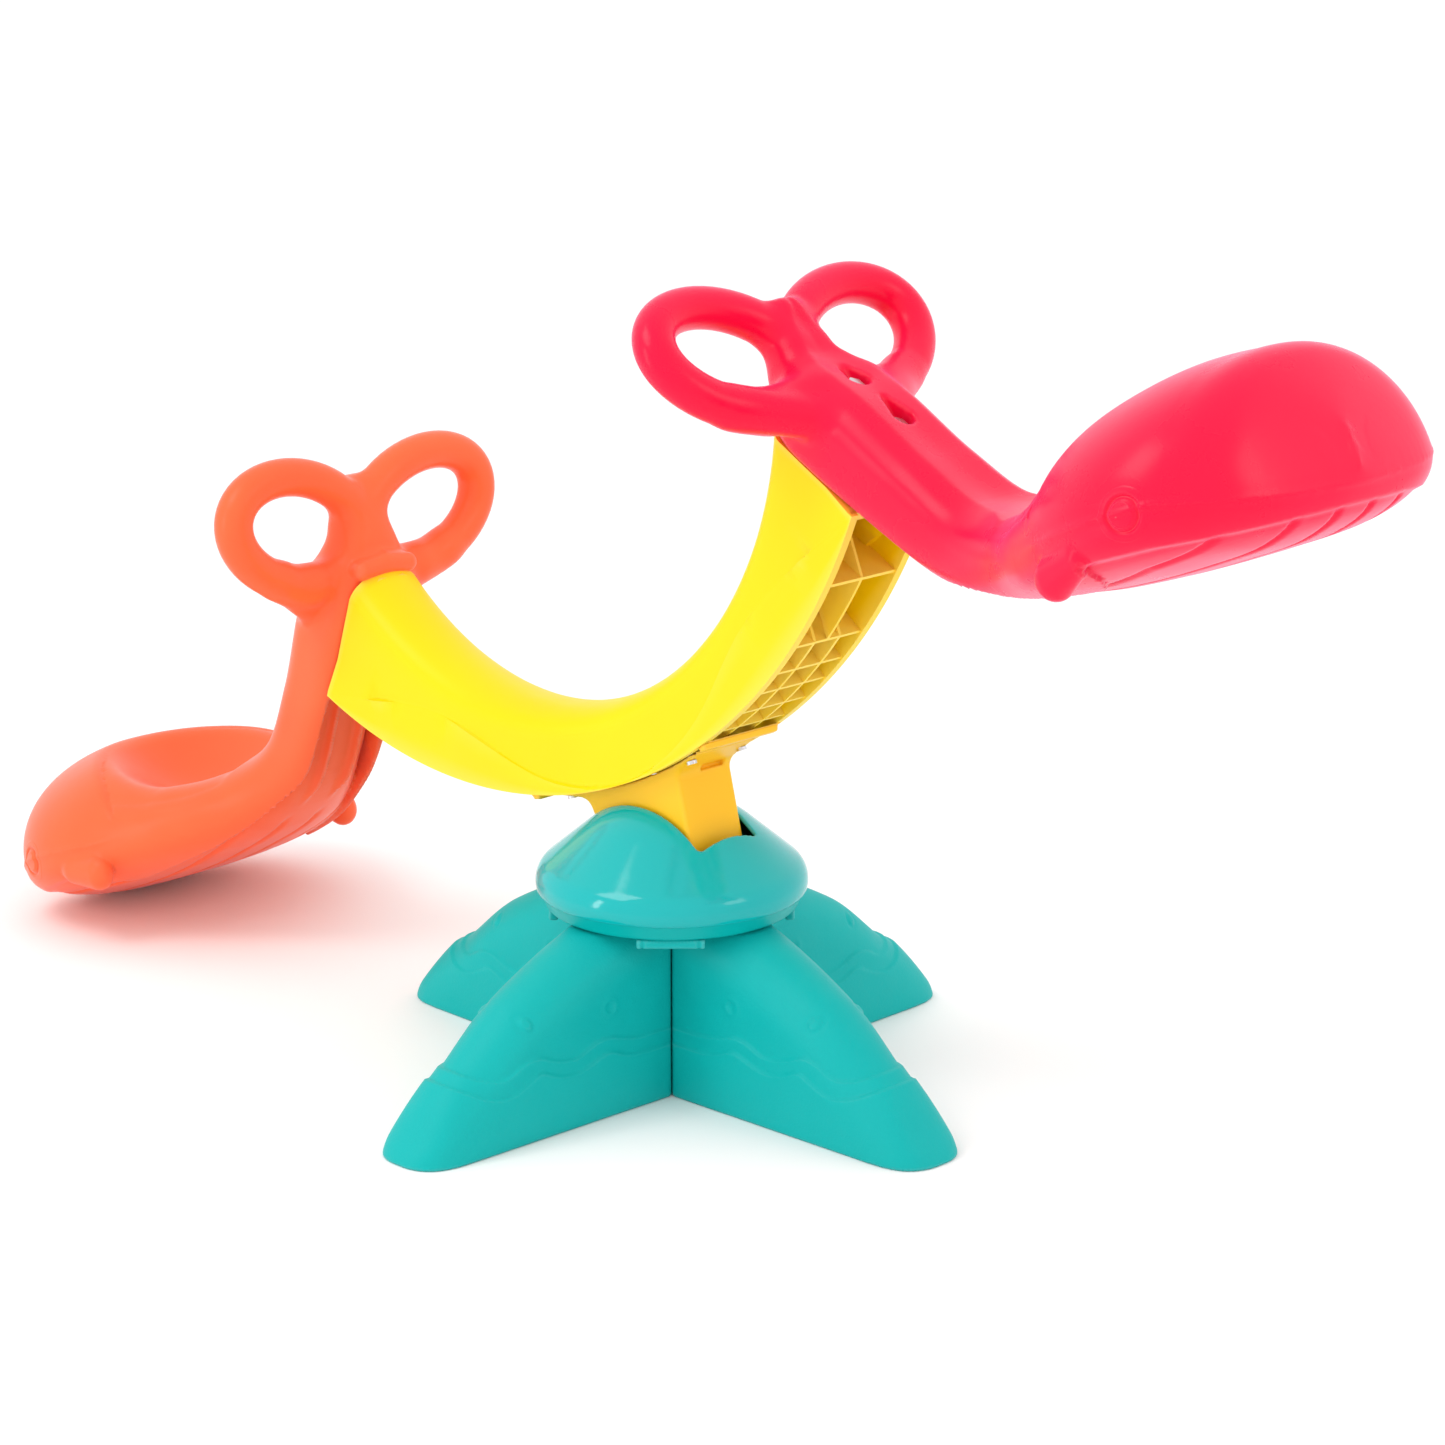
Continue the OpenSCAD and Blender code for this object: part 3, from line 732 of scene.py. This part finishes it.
def make_dome():
    points, quads = shell(dome_field, *DOME_BOX, DOME_STEP)
    make_piece("gloss_dome", points, quads, TEAL_GLOSS, "turntable", "teal_gloss", "dome")


# ---------- saddle ----------

# Arcs of the beam's side view: radius and height of the centre above the axle
INNER_R, INNER_W = 309.0, 429.0
OUTER_R, OUTER_W = 491.0, 538.0
BLOCK_HALF = 31.5
BEAM_HALF = 47.0
CROWN_HALF = 41.0
CROWN_DEEP = 24.0
BEAM_WALL = 4.0
CROWN_STEPS = 10
SECTIONS = 141
WEB_POINTS = 28


def arc(centre, radius_x, radius_y, start, end, count):
    """Points of an arc of an ellipse, between two angles in degrees."""
    a = np.radians(np.linspace(start, end, count))
    return np.stack([centre[0] + radius_x * np.cos(a), centre[1] + radius_y * np.sin(a)], axis=1)


def mirrored_outline(right):
    """Closed outline from its right half, listed from the bottom up."""
    right = np.asarray(right)
    return np.concatenate([right, right[::-1] * np.array([-1, 1])])


SADDLE_SIDE = mirrored_outline(np.concatenate([
    [[50.5, -30]], arc((73, 34), 14, 13, 180, 105, 6), [[98, 55.5], [122, 61], [122, 90]]]))
SADDLE_END = mirrored_outline(np.concatenate([
    [[BLOCK_HALF, -30]], arc((47.5, 36), 15.5, 22, 180, 105, 6),
    [[BEAM_HALF, 62], [BEAM_HALF, 90]]]))


# A slit in each end face, and a thin strip across each end just under the beam, which rises
# outwards
SLIT_V, SLIT_W = 9, 43
SLIT_HALF = (14, 2.2)
SLIT_U = 56
STRIP_U, STRIP_W = 112, 57
STRIP_RISE = 0.18
STRIP_HALF = (4, 2)
STRIP_V = 44
SADDLE_BOX = ((-128, -50, -34), (128, 50, 66))
SADDLE_STEP = 1.8


def saddle_field(points):
    """Block that spreads out under the beam, from its side and end outlines."""
    u, v, w = points.T
    side = outline_distance(np.abs(u), w, SADDLE_SIDE)
    end = outline_distance(np.abs(v), w, SADDLE_END)
    whole = smooth_max(side, end, 4)
    whole = smooth_max(whole, OUTER_R + 0.1 - np.hypot(u, w - OUTER_W), 1.5)
    slit = rounded_box(v - SLIT_V * np.sign(u), w - SLIT_W, *SLIT_HALF, 2)
    slit = smooth_max(slit, SLIT_U - np.abs(u), 2)
    whole = smooth_max(whole, -slit, 1.5)
    off = np.abs(u) - STRIP_U
    strip = rounded_box(off, w - STRIP_W - STRIP_RISE * off, *STRIP_HALF, 1)
    return smooth_min(whole, smooth_max(strip, np.abs(v) - STRIP_V, 2), 3)


def make_saddle():
    points, quads = shell(saddle_field, *SADDLE_BOX, SADDLE_STEP)
    make_piece("moulded_saddle", beam_to_world(points), quads, AMBER, "rocker", "amber", "saddle")


# ---------- beam ----------

# The crease on the side of the beam: angles about the upper arc's centre, and depths below the top
CREASE_ANGLE = np.array([0, 4, 13, 21, 29, 37.5, 46.5, 55, 58, 66])
CREASE_DEPTH = np.array([73, 70.5, 64, 51.5, 38, 36, 57, 93, 112, 140])
# The side flares out down to the crease, where it steps out by a ledge over a short run
LEDGE = 4.5
LEDGE_RUN = 1.6
PAST_LEDGE = 2.2
FLARE_POWER = 0.8
TOP_ANGLE = 64.66
RIB_T = 3.0
# Ribs stop inside the skin of the beam: below its top, and short of its sides
RIB_TOP = 2.6
RIB_INSET = 2.4
RIB_ANGLES = (15.6, 19.3, 22.9, 26.2, 30.2, 38.3)
TWIN_WEB_V = 15.0
TWIN_WEB_END = 247.0
SINGLE_WEB_END = 304.0
END_WALL = 8.0


def depth_and_angle(point):
    """Depth of a (u, w) point below the upper arc, and its angle about that arc's centre."""
    u, w = point[0], INNER_W - point[1]
    return np.hypot(u, w) - INNER_R, np.degrees(np.arctan2(abs(u), w))


def crease_depth(angle):
    """Smooth depth of the crease."""
    spread_a = (-4, -2, 0, 2, 4)
    found = sum(np.interp(abs(angle + d), CREASE_ANGLE, CREASE_DEPTH) for d in spread_a)
    return found / len(spread_a)


def half_width(point, inset=0.0):
    """Half width of the beam at a point of its side view."""
    depth, angle = depth_and_angle(point)
    crown = np.clip((CROWN_DEEP - max(depth, inset)) / (CROWN_DEEP - inset), 0, 1)
    width = (CROWN_HALF - inset) * np.sqrt(1 - crown ** 2)
    crease = crease_depth(angle)
    if depth > CROWN_DEEP:
        flare = np.clip((depth - CROWN_DEEP) / max(crease - CROWN_DEEP, 1), 0, 1)
        width += (BEAM_HALF - LEDGE - CROWN_HALF) * flare ** FLARE_POWER
        width += LEDGE * ramp(depth, crease, crease + LEDGE_RUN)
    return width


def top_point(share):
    """Point of the upper arc, from one end of the beam (share -1) to the other (share 1)."""
    angle = np.radians(share * TOP_ANGLE)
    return np.array([INNER_R * np.sin(angle), INNER_W - INNER_R * np.cos(angle)])


def bottom_point(share):
    """The same on the lower arc."""
    reach = np.arcsin(END_BOTTOM[0] / OUTER_R)
    return np.array([OUTER_R * np.sin(share * reach), OUTER_W - OUTER_R * np.cos(share * reach)])


def beam_skin(share, inset):
    """Right half of one cross-section, from the top middle to the lower edge, as (u, v, w)."""
    high, low = top_point(share), bottom_point(share)
    deep = np.linalg.norm(low - high)
    crease = crease_depth(depth_and_angle((high + low) / 2)[1])
    crown = CROWN_DEEP - (CROWN_DEEP - inset) * np.cos(np.radians(np.linspace(0, 90, CROWN_STEPS)))
    side = np.linspace(0, 1, 4)[1:]
    depths = list(crown)
    crease = np.clip(crease, CROWN_DEEP + 6, deep - 6)
    depths += list(CROWN_DEEP + (crease - CROWN_DEEP) * side)
    depths += [crease + d for d in (0.5, 1.1, 1.7)]
    depths += list(crease + PAST_LEDGE + (deep - crease - PAST_LEDGE) * side)
    line = []
    for depth in depths:
        point = high + (low - high) * min(depth / deep, 1)
        line.append((point[0], half_width(point, inset), point[1]))
    return np.array(line)


def beam_section(share):
    """Closed ring of one cross-section: outer skin, lower edges and inner skin."""
    outer, inner = beam_skin(share, 0), beam_skin(share, BEAM_WALL)
    inner[:, 1] = np.maximum(inner[:, 1] - BEAM_WALL * (np.arange(len(inner)) >= CROWN_STEPS), 0)
    flip = np.array([1, -1, 1])
    left = np.concatenate([outer[::-1], (outer * flip)[1:]])
    right = np.concatenate([(inner * flip)[::-1], inner[1:]])
    return np.concatenate([left, right])


def extruded(outline, normal, thick):
    """Plate with a flat outline of 3-D points, thickened both ways along its normal."""
    outline = np.asarray(outline, float)
    shift = np.asarray(normal, float) * thick / 2
    count = len(outline)
    points = np.concatenate([outline - shift, outline + shift])
    faces = [[i, (i + 1) % count, count + (i + 1) % count, count + i] for i in range(count)]
    faces += [list(range(count))[::-1], list(range(count, 2 * count))]
    return points, faces


def upright(outline, v):
    """Points of a (u, w) outline, standing at one v."""
    return [(u, v, w) for u, w in outline]


def cross_plate(start, direction, low, high, thick):
    """Plate across the inside of the beam, on a line of its side view."""
    levels = [start + direction * r for r in np.linspace(low, high, 12)]
    right = [(p[0], max(half_width(p, 0) - RIB_INSET, 0), p[1]) for p in levels]
    left = [(u, -v, w) for u, v, w in right[::-1]]
    normal = (-direction[1], 0, direction[0])
    return extruded(right + left, normal, thick)


def beam_ribs():
    """Cross ribs of both arms, square to the lower arc, and the closing wall at each end."""
    middle = np.array([0, OUTER_W])
    reaches = np.arange(300, 480, 1.0)
    for side in (-1, 1):
        for angle in RIB_ANGLES:
            a = np.radians(side * angle)
            way = np.array([np.sin(a), -np.cos(a)])
            top = next(r for r in reaches if depth_and_angle(middle + way * r)[0] > RIB_TOP)
            yield cross_plate(middle, way, OUTER_R - 2, top, RIB_T)
        high, low = top_point(side), bottom_point(side)
        way = (low - high) / np.linalg.norm(low - high)
        inward = np.array([-side * END_OUT[0], -END_OUT[1]]) * END_WALL / 2
        yield cross_plate(high + inward, way, np.linalg.norm(low - high) - 3, 4, END_WALL)


def web(u_start, u_end, v):
    """Plate along the inside of the beam."""
    along = np.linspace(u_start, u_end, WEB_POINTS)
    top = [(u, INNER_W - np.sqrt((INNER_R + 5.0) ** 2 - u * u)) for u in along]
    low = [(u, OUTER_W - np.sqrt((OUTER_R - 2) ** 2 - u * u)) for u in along[::-1]]
    return extruded(upright(top + low, v), (0, 1, 0), RIB_T)


def make_beam():
    """Channel of cross-sections, closed at both ends, with its ribs and webs in one piece."""
    shares = np.linspace(-1, 1, SECTIONS)
    rings = np.array([beam_section(share) for share in shares])
    count = rings.shape[1]
    points = rings.reshape(-1, 3)
    faces = []
    for i in range(len(shares) - 1):
        for j in range(count):
            k = (j + 1) % count
            faces.append([i * count + j, i * count + k, (i + 1) * count + k, (i + 1) * count + j])
    half = count // 2
    last = (len(shares) - 1) * count
    for j in range(half - 1):
        ends = [j, j + 1, count - 2 - j, count - 1 - j]
        faces.append(ends[::-1])
        faces.append([last + k for k in ends])
    solids = [(points, faces)] + list(beam_ribs())
    solids += [web(-TWIN_WEB_END, TWIN_WEB_END, v) for v in (-TWIN_WEB_V, TWIN_WEB_V)]
    solids += [web(side * TWIN_WEB_END, side * SINGLE_WEB_END, 0) for side in (-1, 1)]
    all_points, all_faces, used = [], [], 0
    for solid_points, solid_faces in solids:
        all_points.append(solid_points)
        all_faces += [[used + k for k in face] for face in solid_faces]
        used += len(solid_points)
    whole = beam_to_world(np.concatenate(all_points))
    piece = make_piece("moulded_beam", whole, all_faces, YELLOW, "rocker", "yellow", "beam")
    piece.data.set_sharp_from_angle(angle=np.radians(40))


# ---------- materials ----------

def add(tree, kind, **values):
    """New shader node, with its inputs and settings."""
    node = tree.nodes.new(kind)
    for key, value in values.items():
        if key in node.inputs:
            node.inputs[key].default_value = value
        else:
            setattr(node, key, value)
    return node


SWELL_HEIGHT = 0.0004


def moulded(name, colour, deep, roughness, grain=260, grain_height=0.00006,
            metallic=0.0, specular=0.2, wear=0.35, sheen=None):
    """Moulded plastic: slow colour drift, paler rubbed edges, uneven gloss, fine grain."""
    material = bpy.data.materials.new(name)
    material.use_nodes = True
    tree = material.node_tree
    shader = tree.nodes["Principled BSDF"]
    shader.inputs["Metallic"].default_value = metallic
    shader.inputs["Specular IOR Level"].default_value = specular
    if sheen:
        shader.inputs["Sheen Weight"].default_value = 0.3
        shader.inputs["Sheen Roughness"].default_value = 0.4
        shader.inputs["Sheen Tint"].default_value = (*sheen, 1)
    place = add(tree, "ShaderNodeTexCoord")
    link = tree.links.new

    drift = add(tree, "ShaderNodeTexNoise", Scale=5.0, Detail=4.0, Roughness=0.55)
    link(place.outputs["Object"], drift.inputs["Vector"])
    mix = add(tree, "ShaderNodeMix", data_type="RGBA")
    mix.inputs["A"].default_value = (*colour, 1)
    mix.inputs["B"].default_value = (*deep, 1)
    span = add(tree, "ShaderNodeMapRange", **{"From Min": 0.35, "From Max": 0.75, "To Max": 0.55})
    link(drift.outputs["Fac"], span.inputs["Value"])
    link(span.outputs["Result"], mix.inputs["Factor"])

    geometry = add(tree, "ShaderNodeNewGeometry")
    edge = add(tree, "ShaderNodeMapRange", **{"From Min": 0.52, "From Max": 0.62, "To Max": wear})
    link(geometry.outputs["Pointiness"], edge.inputs["Value"])
    worn = add(tree, "ShaderNodeMix", data_type="RGBA")
    pale = [min(1, c * 0.75 + 0.25) for c in colour]
    worn.inputs["B"].default_value = (*pale, 1)
    link(edge.outputs["Result"], worn.inputs["Factor"])
    link(mix.outputs["Result"], worn.inputs["A"])
    link(worn.outputs["Result"], shader.inputs["Base Color"])

    smudge = add(tree, "ShaderNodeTexNoise", Scale=14.0, Detail=6.0, Roughness=0.6)
    link(place.outputs["Object"], smudge.inputs["Vector"])
    gloss = add(tree, "ShaderNodeMapRange", **{
        "From Min": 0.3, "From Max": 0.7, "To Min": roughness * 0.88, "To Max": roughness * 1.15})
    link(smudge.outputs["Fac"], gloss.inputs["Value"])
    link(gloss.outputs["Result"], shader.inputs["Roughness"])

    fine = add(tree, "ShaderNodeTexNoise", Scale=float(grain), Detail=3.0, Roughness=0.6)
    swell = add(tree, "ShaderNodeTexNoise", Scale=16.0, Detail=2.0)
    link(place.outputs["Object"], fine.inputs["Vector"])
    link(place.outputs["Object"], swell.inputs["Vector"])
    fine_bump = add(tree, "ShaderNodeBump", Distance=grain_height, Strength=1.0)
    swell_bump = add(tree, "ShaderNodeBump", Distance=SWELL_HEIGHT, Strength=1.0)
    link(fine.outputs["Fac"], fine_bump.inputs["Height"])
    link(swell.outputs["Fac"], swell_bump.inputs["Height"])
    link(swell_bump.outputs["Normal"], fine_bump.inputs["Normal"])
    link(fine_bump.outputs["Normal"], shader.inputs["Normal"])
    return material


PINK = moulded("pink_plastic", (0.88, 0.003, 0.05), (0.84, 0.001, 0.035), 0.28,
               sheen=(1.0, 0.30, 0.75))
ORANGE = moulded("orange_plastic", (1.0, 0.15, 0.05), (1.0, 0.10, 0.03), 0.32,
                 sheen=(1.0, 0.45, 0.5))
YELLOW = moulded("yellow_plastic", (1.0, 0.70, 0.0), (1.0, 0.63, 0.0), 0.38)
AMBER = moulded("amber_plastic", (1.0, 0.57, 0.02), (0.98, 0.50, 0.01), 0.34)
TEAL = moulded("teal_grain", (0.0, 0.44, 0.425), (0.0, 0.40, 0.385), 0.5, grain=420,
               grain_height=0.0003)
TEAL_GLOSS = moulded("teal_gloss", (0.0, 0.44, 0.44), (0.0, 0.41, 0.41), 0.10, specular=0.4)
TEAL_PLAIN = moulded("teal_plain", (0.0, 0.43, 0.41), (0.0, 0.39, 0.375), 0.35, wear=0.0)
ZINC = moulded("zinc_plate", (0.72, 0.73, 0.75), (0.60, 0.60, 0.62), 0.3, grain=900, metallic=1.0,
               wear=0.0)
NYLON = moulded("natural_nylon", (0.85, 0.85, 0.80), (0.8, 0.8, 0.74), 0.5, wear=0.0)
SLOT_MATERIALS = {
    "pink": PINK, "orange": ORANGE, "yellow": YELLOW, "amber": AMBER, "teal_matte": TEAL_PLAIN,
    "teal_gloss": TEAL_GLOSS, "zinc": ZINC, "nylon": NYLON}


def dress_cad_nodes():
    """Gives every CAD node the material of its slot, with smooth faces and sharp edges."""
    for part in frame["record"]["subparts"]:
        mesh = nodes[part["node"]].data
        mesh.materials.clear()
        mesh.materials.append(SLOT_MATERIALS[part["material_slot"]])
        mesh.shade_smooth()
        mesh.set_sharp_from_angle(angle=np.radians(32))


WHALE_BOX = ((180, -175, 50), (830, 175, 440))
WHALE_STEP = 2.55


def make_whales():
    """One seat with its two eyes, used at one end and turned by half a turn at the other."""
    points, quads = shell(whale_field, *WHALE_BOX, WHALE_STEP)
    quads = quads.tolist()
    for side in (-1, 1):
        patch, patch_quads = eye_patch(side)
        quads += [[k + len(points) for k in quad] for quad in patch_quads]
        points = np.concatenate([points, patch])
    make_piece("whale_pink", beam_to_world(points), quads, PINK, "rocker", "pink", "seat_pink")
    other = beam_to_world(points * np.array([-1, -1, 1]))
    make_piece("whale_orange", other, quads, ORANGE, "rocker", "orange", "seat_orange")


# ---------- camera, light and floor ----------

# Lens and sensor in millimetres, place in metres
LENS = 99.13
SENSOR = 36
CAMERA_PLACE = (2.3565, -2.2988, 1.2287)
CAMERA_RIGHT = Vector((0.70787, 0.70635, -0.00044))
CAMERA_UP = Vector((-0.18813, 0.18914, 0.96376))


def make_camera():
    """Seen from the near right, about 15 degrees above the horizon, through a long lens."""
    camera = bpy.data.cameras.new("camera")
    camera.sensor_width = SENSOR
    camera.lens = LENS
    holder = bpy.data.objects.new("camera", camera)
    back = CAMERA_RIGHT.cross(CAMERA_UP)
    turn = Matrix((CAMERA_RIGHT, CAMERA_UP, back)).transposed().to_4x4()
    holder.matrix_world = Matrix.Translation(CAMERA_PLACE) @ turn
    bpy.context.scene.collection.objects.link(holder)
    bpy.context.scene.camera = holder


def make_softbox(name, place, aim, size, power):
    """Rectangular light that faces a point."""
    light = bpy.data.lights.new(name, "AREA")
    light.shape = "RECTANGLE"
    light.size, light.size_y = size
    light.energy = power
    holder = bpy.data.objects.new(name, light)
    holder.location = place
    holder.rotation_mode = "QUATERNION"
    holder.rotation_quaternion = (Vector(aim) - Vector(place)).to_track_quat("-Z", "Y")
    bpy.context.scene.collection.objects.link(holder)


FLOOR_HALF = 12.0
WORLD_STRENGTH = 1.06


def make_studio():
    """White surroundings, three soft lights and a white floor that is no part of the object."""
    world = bpy.data.worlds.new("studio")
    world.use_nodes = True
    sky = world.node_tree.nodes["Background"]
    sky.inputs["Color"].default_value = (1, 1, 1, 1)
    sky.inputs["Strength"].default_value = WORLD_STRENGTH
    bpy.context.scene.world = world
    middle = (0, 0, 0.35)
    make_softbox("key", (-0.6, -1.6, 2.6), middle, (1.2, 1.2), 18)
    make_softbox("fill", (2.6, 0.6, 1.9), middle, (1.0, 1.0), 8)
    make_softbox("strip", (-0.9, -2.6, 0.9), (0, 0, 0.25), (0.25, 1.4), 8)

    corners = [(x * FLOOR_HALF, y * FLOOR_HALF, 0) for x, y in ((-1, -1), (1, -1), (1, 1), (-1, 1))]
    mesh = bpy.data.meshes.new("floor")
    mesh.from_pydata(corners, [], [(0, 1, 2, 3)])
    material = bpy.data.materials.new("floor_paper")
    material.use_nodes = True
    shader = material.node_tree.nodes["Principled BSDF"]
    shader.inputs["Base Color"].default_value = (0.97, 0.97, 0.97, 1)
    shader.inputs["Roughness"].default_value = 0.9
    shader.inputs["Specular IOR Level"].default_value = 0.0
    mesh.materials.append(material)
    floor = bpy.data.objects.new("floor", mesh)
    bpy.context.scene.collection.objects.link(floor)
    bpy.context.scene.view_settings.view_transform = "Standard"


make_camera()
make_studio()
dress_cad_nodes()
make_whales()
make_legs()
make_hub()
make_dome()
make_saddle()
make_beam()
